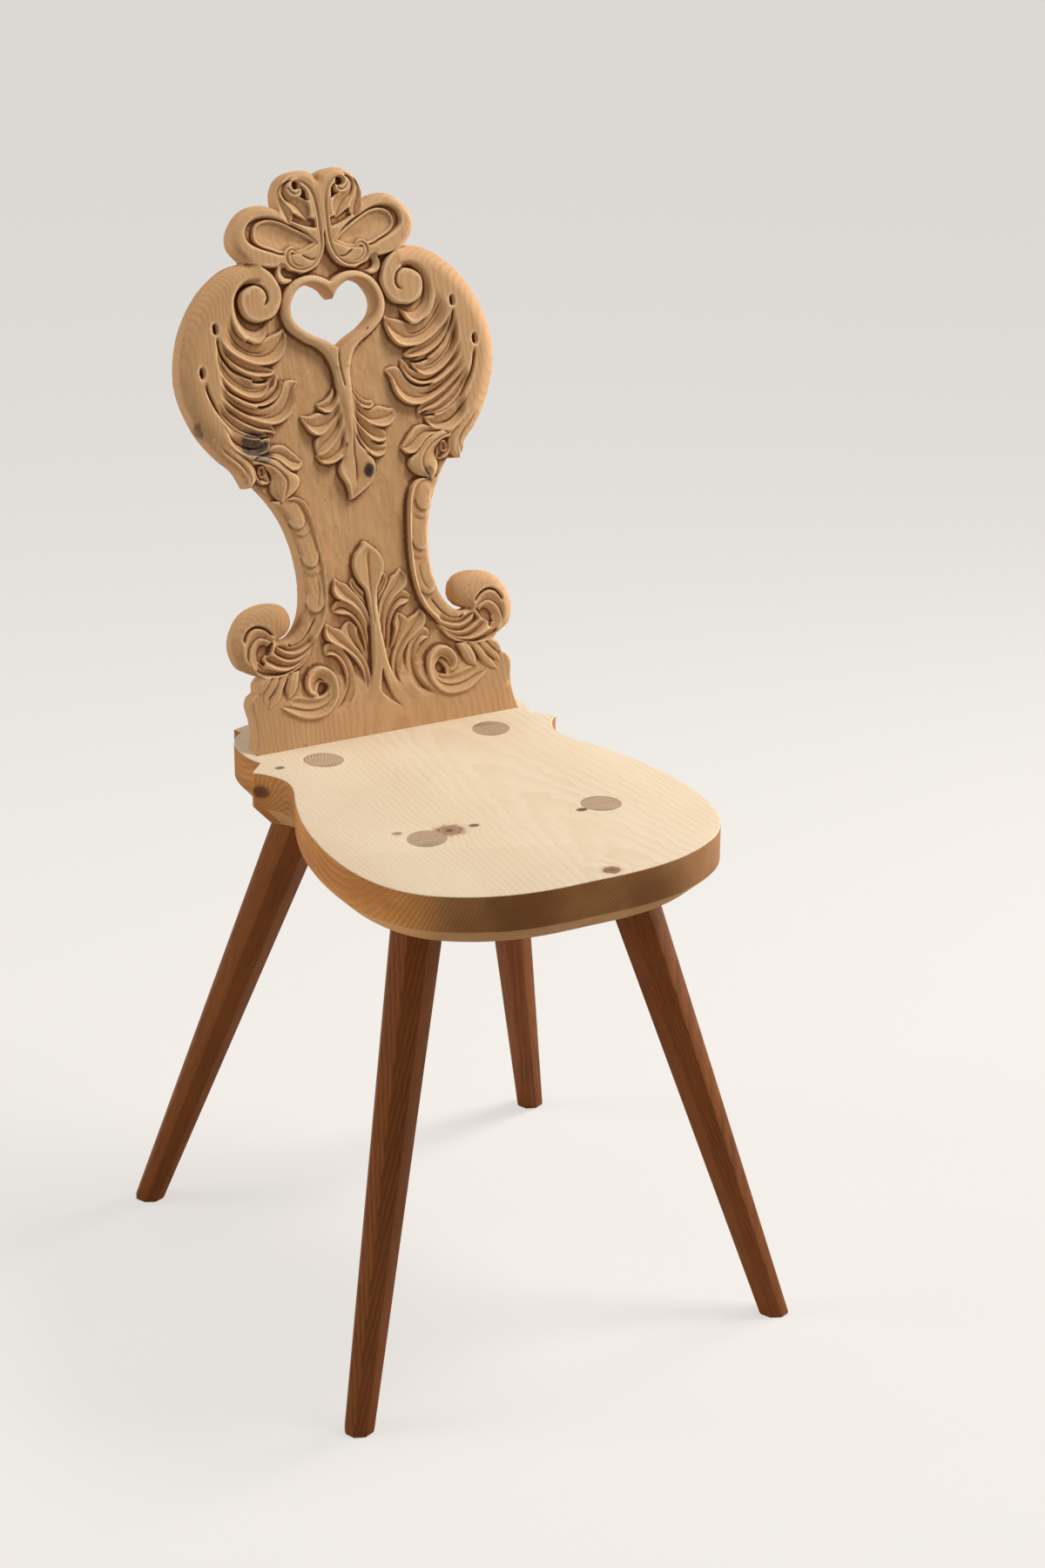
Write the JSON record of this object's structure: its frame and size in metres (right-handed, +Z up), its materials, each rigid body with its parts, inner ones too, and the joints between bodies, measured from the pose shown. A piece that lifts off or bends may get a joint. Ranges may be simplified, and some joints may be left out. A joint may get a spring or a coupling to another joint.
{
  "type": "carved wooden board chair",
  "caption": "Bare wood side chair with a shaped plank seat, splayed eight-sided legs and a pierced, relief-carved back board held by keyed tenons.",
  "frame": {"origin": "on the floor, under the middle of the chair's box", "axes": "+Z up; the front of the chair faces -Y; +X is to the right seen from the front"},
  "size_m": [0.4116, 0.5012, 0.8978],
  "materials": {
    "seat_wood": "planed bare softwood, pale, knotty",
    "back_wood": "carved bare softwood, honey, tool marks, dark knots",
    "leg_wood": "planed straight-grained wood, brown",
    "key_wood": "sawn bare wood",
    "wedge_wood": "end grain, cut flush"
  },
  "bodies": {
    "root": {"seat": "seat_wood", "back_board": "back_wood", "key_left": "key_wood", "key_right": "key_wood", "leg_front_left": "leg_wood", "leg_front_right": "leg_wood", "leg_rear_left": "leg_wood", "leg_rear_right": "leg_wood", "wedge_front_left": "wedge_wood", "wedge_front_right": "wedge_wood", "wedge_rear_left": "wedge_wood", "wedge_rear_right": "wedge_wood"}
  },
  "joints": []
}
